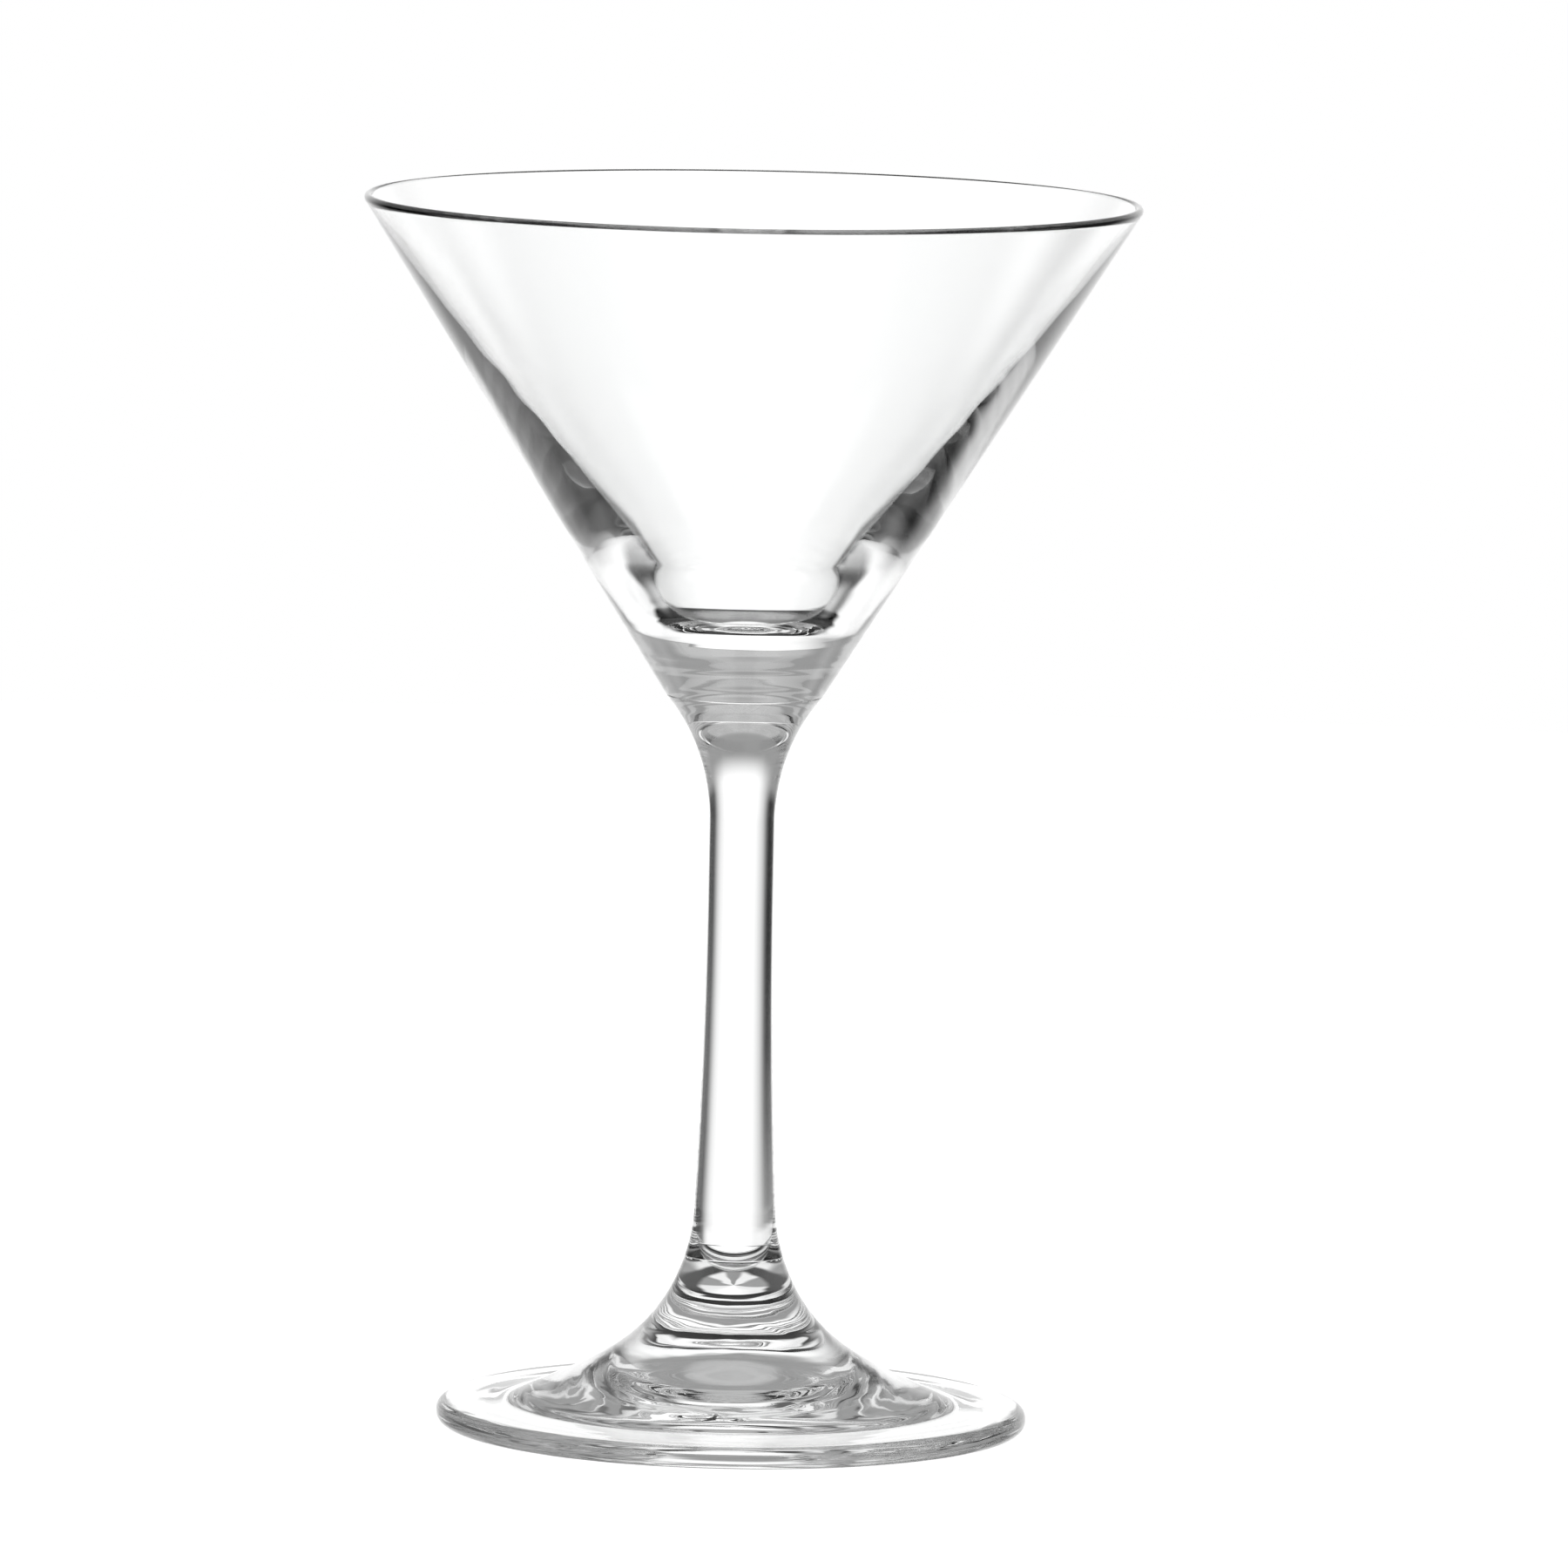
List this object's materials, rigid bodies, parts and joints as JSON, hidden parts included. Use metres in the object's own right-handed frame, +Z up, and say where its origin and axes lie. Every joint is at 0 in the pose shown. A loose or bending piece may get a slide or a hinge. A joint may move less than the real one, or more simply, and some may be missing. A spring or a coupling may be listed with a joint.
{
  "type": "martini glass",
  "caption": "Stemmed cocktail glass of clear glass: a wide conical bowl with a heavy solid base, a slim drawn stem and a low conical disc foot.",
  "frame": {"origin": "middle of the foot, on the table plane", "axes": "+Z up the glass's axis, from the foot to the rim; X and Y are free, because the glass is turned"},
  "size_m": [0.0944, 0.0944, 0.15],
  "materials": {
    "bowl_glass": "clear, fire-polished rim",
    "stem_glass": "clear, drawn",
    "foot_glass": "clear, pressed and polished"
  },
  "bodies": {
    "root": {"bowl": "bowl_glass", "stem": "stem_glass", "foot": "foot_glass"}
  },
  "joints": []
}
